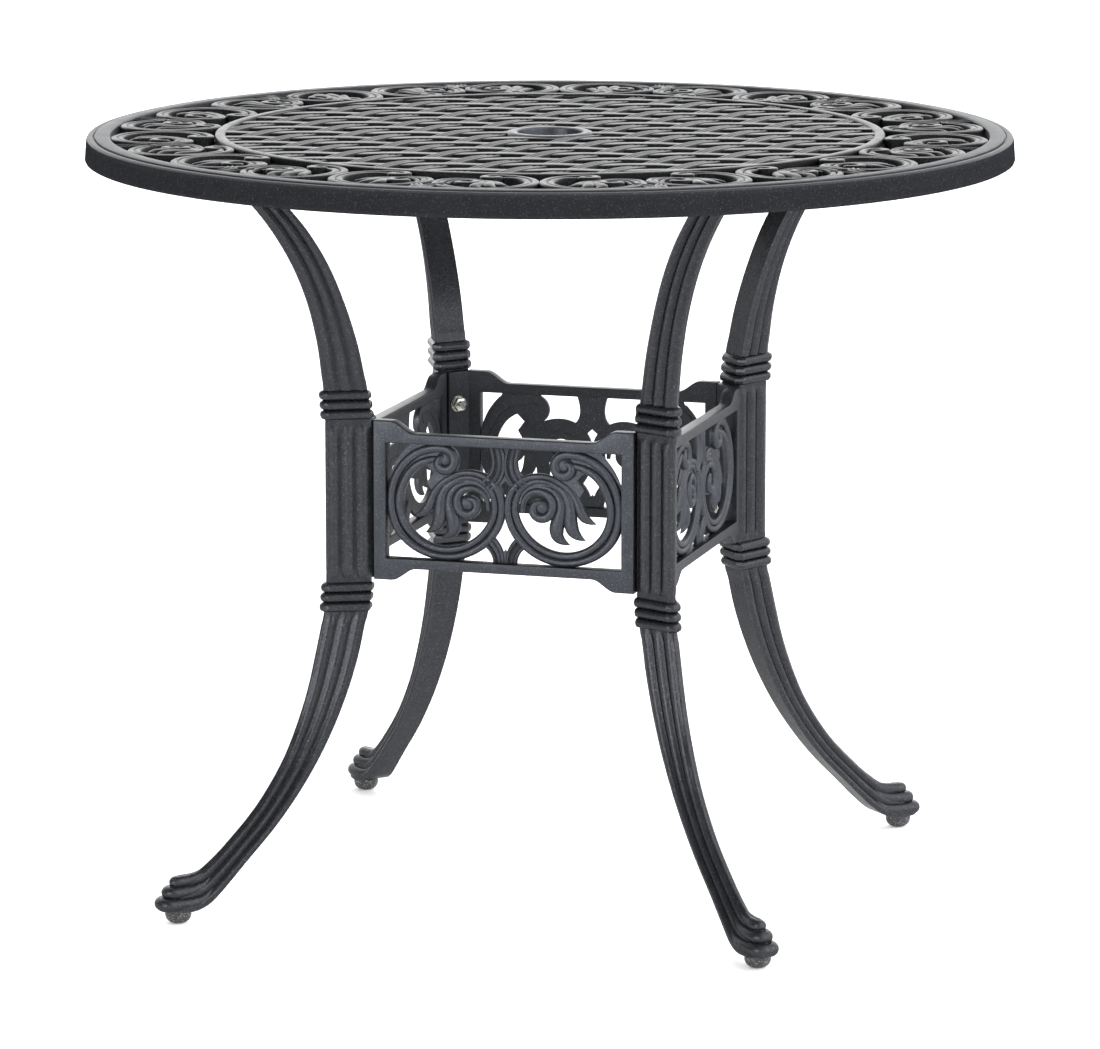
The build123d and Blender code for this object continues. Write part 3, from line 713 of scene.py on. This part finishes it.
# Aprons: a flat frame with ogee steps, two mirrored medallions with thin webs behind them,
# ribbed brackets and end flanges that lap at the corners. A web's lie is its back and thickness.
# Flanges give angle, laps in from the corner, start and end.
apron = {
    "face": 162.0, "halfWidth": 132.0, "plate": 13.0, "bottom": 325.5, "height": 158.0,
    "step": 12.0, "end": 18.0, "ogee": 25.0, "ogeeSteps": 8, "edge": 1.4,
    "openHalf": 119.2, "openHeight": 114.0, "medallion": 59.5, "scrollBack": 151.5,
    "webSection": [(-3.4, 0), (-3.4, 1.9), (3.4, 1.9), (3.4, 0)], "webBack": 0.8,
    "webRuns": [
        [(20, 45), (33, 39.5), (43, 29.8), (49.3, 17.5), (52.4, 4.5), (52.2, -7.5), (49, -21),
         (41.3, -33), (29, -43), (14.8, -49), (0, -51), (-15, -48.6), (-30, -42), (-41.5, -32),
         (-49.5, -19), (-53.3, -6), (-52.5, 6.5), (-46.8, 16.5), (-37, 24.6), (-25, 28.5),
         (-12, 27), (0, 20.5)],
        [(-46, 6), (-42, 15), (-32, 21.5), (-19, 23.4), (-7, 19.5), (3, 11)],
        [(37, 51), (45, 43), (52.3, 31), (56.5, 18), (59, 4)],
    ],
    "voluteWeb": [(-3, 58.5), (35.7, 58.5), (42, 46), (36, 33), (22, 37.5), (13, 28.5), (20, 19),
                  (14, 9), (0, 16), (-8, 24), (-8, 33), (-11, 40), (-9, 50)],
    "voluteLie": (0.7, 1.8),
    "stemWebs": [[(-9, 58.5), (9, 58.5), (7, 45), (8, 36), (10, 26), (8, 17), (0, 24), (-8, 17),
                  (-10, 26), (-8, 36), (-7, 45)],
                 [(-6, -58.5), (6, -58.5), (5, -50), (0, -44), (-5, -50)]],
    "stemLie": (-0.4, 3.0),
    "lap": 5.0, "flangeInset": 0.5, "flangeRound": 0.8,
    "flanges": [(-45, 2, -14.0, 10.0), (-135, 1, -10.4, 15.0)],
    "inwardShare": 0.7,
}
apronMiddle = apron["bottom"] + apron["height"] / 2


def apronOutline():
    rise, wide = apron["height"] / 2, apron["halfWidth"]
    quarter = [(wide, rise), (wide - apron["end"], rise)]
    for step in range(1, apron["ogeeSteps"] + 1):
        share = step / apron["ogeeSteps"]
        drop = apron["step"] * (1 - cos(pi * share)) / 2
        quarter.append((wide - apron["end"] - apron["ogee"] * share, rise - drop))
    upper = quarter + [(-x, y) for x, y in reversed(quarter)]
    return upper + [(x, -y) for x, y in reversed(upper)]


def apronFrame():
    wide, high = apron["openHalf"], apron["openHeight"] / 2
    opening = [(-wide, -high), (wide, -high), (wide, high), (-wide, high)]
    flat = bpy.data.curves.new("apronFrame", "CURVE")
    flat.dimensions = "2D"
    flat.fill_mode = "BOTH"
    flat.extrude = (apron["plate"] / 2 - apron["edge"]) * mm
    flat.bevel_depth = apron["edge"] * mm
    flat.bevel_resolution = 2
    flat.offset = -apron["edge"] * mm
    for loop in (apronOutline(), opening):
        spline = flat.splines.new("POLY")
        spline.points.add(len(loop) - 1)
        for point, (x, y) in zip(spline.points, loop):
            point.co = (x * mm, y * mm, 0, 1)
        spline.use_cyclic_u = True
    piece = bpy.data.objects.new("apronFrame", flat)
    bpy.context.scene.collection.objects.link(piece)
    makeActive(piece)
    bpy.ops.object.convert(target="MESH")
    piece = bpy.context.object
    depth = apron["plate"] / 2 - apron["face"]
    stand = Matrix.Translation((0, depth * mm, apronMiddle * mm))
    piece.data.transform(stand @ Matrix.Rotation(pi / 2, 4, "X"))
    return finishMesh(piece)


def scrollBacking():
    webs = [flatWeb(apron["voluteWeb"], *apron["voluteLie"])]
    for number, run in enumerate(apron["webRuns"]):
        back = apron["webBack"] + scroll["layer"] * number
        webs.append(mouldedRun("webRun", [[(x, y, back, 1) for x, y in run]],
                               apron["webSection"]))
    return joinPieces("scrollWeb", webs)


def apronCasting():
    parts = [apronFrame()]
    stand = Matrix.Translation((0, -apron["scrollBack"] * mm, apronMiddle * mm))
    upright = stand @ Matrix.Rotation(pi / 2, 4, "X")
    backing = scrollBacking()
    for hand in (-1, 1):
        spot = Matrix.Translation((hand * apron["medallion"] * mm, 0, 0))
        place = upright @ spot @ Matrix.Diagonal((hand, 1, 1, 1))
        parts += [copyPiece(pattern, place, hand < 0) for pattern in (medallion, backing)]
    dropPiece(backing)
    for outline in apron["stemWebs"]:
        parts.append(flatWeb(outline, *apron["stemLie"]))
        parts[-1].data.transform(upright)
    parts += [copyPiece(longBracket, upright), copyPiece(shortBracket, upright)]
    reach = (apron["face"] + apron["halfWidth"]) / sqrt(2)
    low = apron["bottom"] + apron["flangeInset"]
    high = apron["bottom"] + apron["height"] - apron["flangeInset"]
    for angle, laps, start, end in apron["flanges"]:
        near = reach - laps * apron["lap"]
        tab = roundedBlock((near, start, low), (near + apron["lap"], end, high),
                           apron["flangeRound"])
        tab.data.transform(turned(angle))
        parts.append(tab)
    return joinPieces("apronCasting", parts)


panel = apronCasting()
for number, side in enumerate(("front", "right", "back", "left")):
    placed = copyPiece(panel, turned(90 * number))
    placed.name = "apron" + side.capitalize()
    settle(placed, "table", "powder_coat", litPlateCast, "apron_" + side)
    # The backs, towards the middle of the table, get painted shade: the darker satin copy
    placed.data.materials.append(shadedSatinCast)
    inward = turned(90 * number).to_3x3() @ Vector((0, 1, 0))
    for face in placed.data.polygons:
        face.material_index = 1 if face.normal.dot(inward) > apron["inwardShare"] else 0
for pattern in (panel, medallion, longBracket, shortBracket):
    dropPiece(pattern)
print("aprons cast")

# Glides: a moulded pad under each paw, round as a dome below
glide = {
    "radius": 412.6, "segments": 64,
    "section": [(0.005, 0), (3.2, 0.05), (6.2, 0.5), (8.8, 1.6), (10.8, 3.3), (12.2, 5.6),
                (12.8, 8.0), (12.9, 10.6), (12.6, 12.6), (11.8, 13.3), (0.005, 13.3)],
}
pad = turnedRing("glidePad", glide["section"], glide["segments"])
for corner, suffix, angle in corners:
    placed = copyPiece(pad, polarPlace(angle, glide["radius"]))
    placed.name = "glide" + suffix
    settle(placed, "glide_" + corner, "nylon", nylon, "glide_pad_" + corner)
dropPiece(pad)
print("glides moulded")

# Apron fasteners, modelled once with the axis upward from the lapped flanges: washer, hexagon
# nut and stud end
fastener = {
    "radius": 197.89, "heights": (358.5, 450.5),
    "across": 13.0, "nutHeight": 6.5, "chamfer": 0.7, "washer": 1.6,
    "washerSection": [(4.3, 0), (8.0, 0), (8.5, 0.4), (8.5, 1.1), (8.0, 1.6), (4.3, 1.6)],
    "washerSides": 48,
    "studSection": [(0.005, -26), (3.95, -26), (3.95, 8.3), (3.4, 8.7), (3.95, 9.2), (3.4, 9.7),
                    (3.95, 10.2), (3.4, 10.6), (3.0, 11.1), (0.005, 11.1)],
    "studSides": 32,
}


def hexagonNut():
    radius = fastener["across"] / 2 / cos(pi / 6)
    middle = fastener["washer"] + fastener["nutHeight"] / 2
    bpy.ops.mesh.primitive_cylinder_add(vertices=6, radius=radius * mm,
                                        depth=fastener["nutHeight"] * mm)
    nut = bpy.context.object
    nut.data.transform(Matrix.Translation((0, 0, middle * mm)))
    return bevelEdges(nut, fastener["chamfer"], 2)


fastenerPlaces = []
for corner, suffix, angle in corners:
    for height in fastener["heights"]:
        spot = Matrix.Translation((fastener["radius"] * mm, 0, height * mm))
        fastenerPlaces.append(turned(angle) @ spot @ Matrix.Rotation(-pi / 2, 4, "Y"))
washer = turnedRing("washer", fastener["washerSection"], fastener["washerSides"])
stud = turnedRing("stud", fastener["studSection"], fastener["studSides"])
for node, name, pattern in (("apron_washers", "apronWashers", washer),
                            ("apron_nuts", "apronNuts", hexagonNut()),
                            ("apron_studs", "apronStuds", stud)):
    settle(spreadCopies(name, pattern, fastenerPlaces), "table", "zinc_steel", zinc, node)

# The hidden fasteners keep their CAD shapes and get the same finish
hiddenFasteners = ("top_washers", "top_spring_washers", "top_bolts", "glide_inserts", "glide_stud")
for name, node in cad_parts.items():
    if name.startswith(hiddenFasteners):
        node.data.materials.clear()
        node.data.materials.append(zinc)
print("fasteners set")

# Studio: white paper floor under a soft pale sky with glows to the right, narrow in front and
# low behind the table. Glows give gain, direction and the cosines where they start and are full.
studio = {
    "floor": 80.0, "paperLift": 0.15, "sky": 0.36,
    "glows": [(3.2, (0.97, -0.1, 0.35), 0.35, 0.95), (9.0, (-0.38, -0.91, 0.16), 0.94, 0.995),
              (4.6, (-0.28, 0.95, 0.14), 0.35, 0.95)],
}
bpy.ops.mesh.primitive_plane_add(size=studio["floor"])
floor = bpy.context.object
floor.name = "studioFloor"
paper, tree, shader = newMaterial("studioPaper")
shader.inputs["Base Color"].default_value = linearColour("#fbfbfb")
shader.inputs["Roughness"].default_value = 0.95
shader.inputs["Specular IOR Level"].default_value = 0.0
shader.inputs["Emission Color"].default_value = linearColour("#ffffff")
rays = addNode(tree, "ShaderNodeLightPath").outputs
seen = addNode(tree, "ShaderNodeMath", {}, {0: rays["Is Camera Ray"], 1: rays["Is Glossy Ray"]},
               operation="MAXIMUM")
through = addNode(tree, "ShaderNodeMath", {},
                  {0: seen.outputs["Value"], 1: rays["Is Transmission Ray"]},
                  operation="MAXIMUM")
lift = addNode(tree, "ShaderNodeMath", {1: studio["paperLift"]}, {0: through.outputs["Value"]},
               operation="MULTIPLY")
tree.links.new(lift.outputs["Value"], shader.inputs["Emission Strength"])
floor.data.materials.append(paper)

world = bpy.data.worlds.new("studioSky")
bpy.context.scene.world = world
world.use_nodes = True
tree = world.node_tree
sky = tree.nodes["Background"]
sky.inputs["Color"].default_value = linearColour("#ffffff")
heading = addNode(tree, "ShaderNodeTexCoord").outputs["Generated"]
glow = addNode(tree, "ShaderNodeValue")
glow.outputs["Value"].default_value = studio["sky"]
for gain, source, outer, inner in studio["glows"]:
    facing = addNode(tree, "ShaderNodeVectorMath", {1: Vector(source).normalized()},
                     {0: heading}, operation="DOT_PRODUCT")
    lobe = addNode(tree, "ShaderNodeMapRange",
                   {"From Min": outer, "From Max": inner, "To Max": gain},
                   {"Value": facing.outputs["Value"]}, interpolation_type="SMOOTHSTEP")
    glow = addNode(tree, "ShaderNodeMath", {},
                   {0: lobe.outputs["Result"], 1: glow.outputs["Value"]}, operation="ADD")
tree.links.new(glow.outputs["Value"], sky.inputs["Strength"])

# Camera, solved from the photograph: long lens, a little above the top and to the right of the
# front apron
view = {"azimuth": 16.51, "distance": 5672.0, "height": 1442.96, "pitch": 10.834,
        "lens": 189.45, "sensor": 36.0, "farthest": 100.0}
lens = bpy.data.cameras.new("photoCamera")
lens.lens = view["lens"]
lens.sensor_width = view["sensor"]
lens.sensor_fit = "HORIZONTAL"
lens.clip_end = view["farthest"]
camera = bpy.data.objects.new("photoCamera", lens)
bpy.context.scene.collection.objects.link(camera)
swing = radians(view["azimuth"])
camera.location = Vector((sin(swing) * view["distance"], -cos(swing) * view["distance"],
                          view["height"])) * mm
camera.rotation_euler = (radians(90 - view["pitch"]), 0, swing)
bpy.context.scene.camera = camera
bpy.context.scene.view_settings.view_transform = "Standard"
print("studio and camera set")
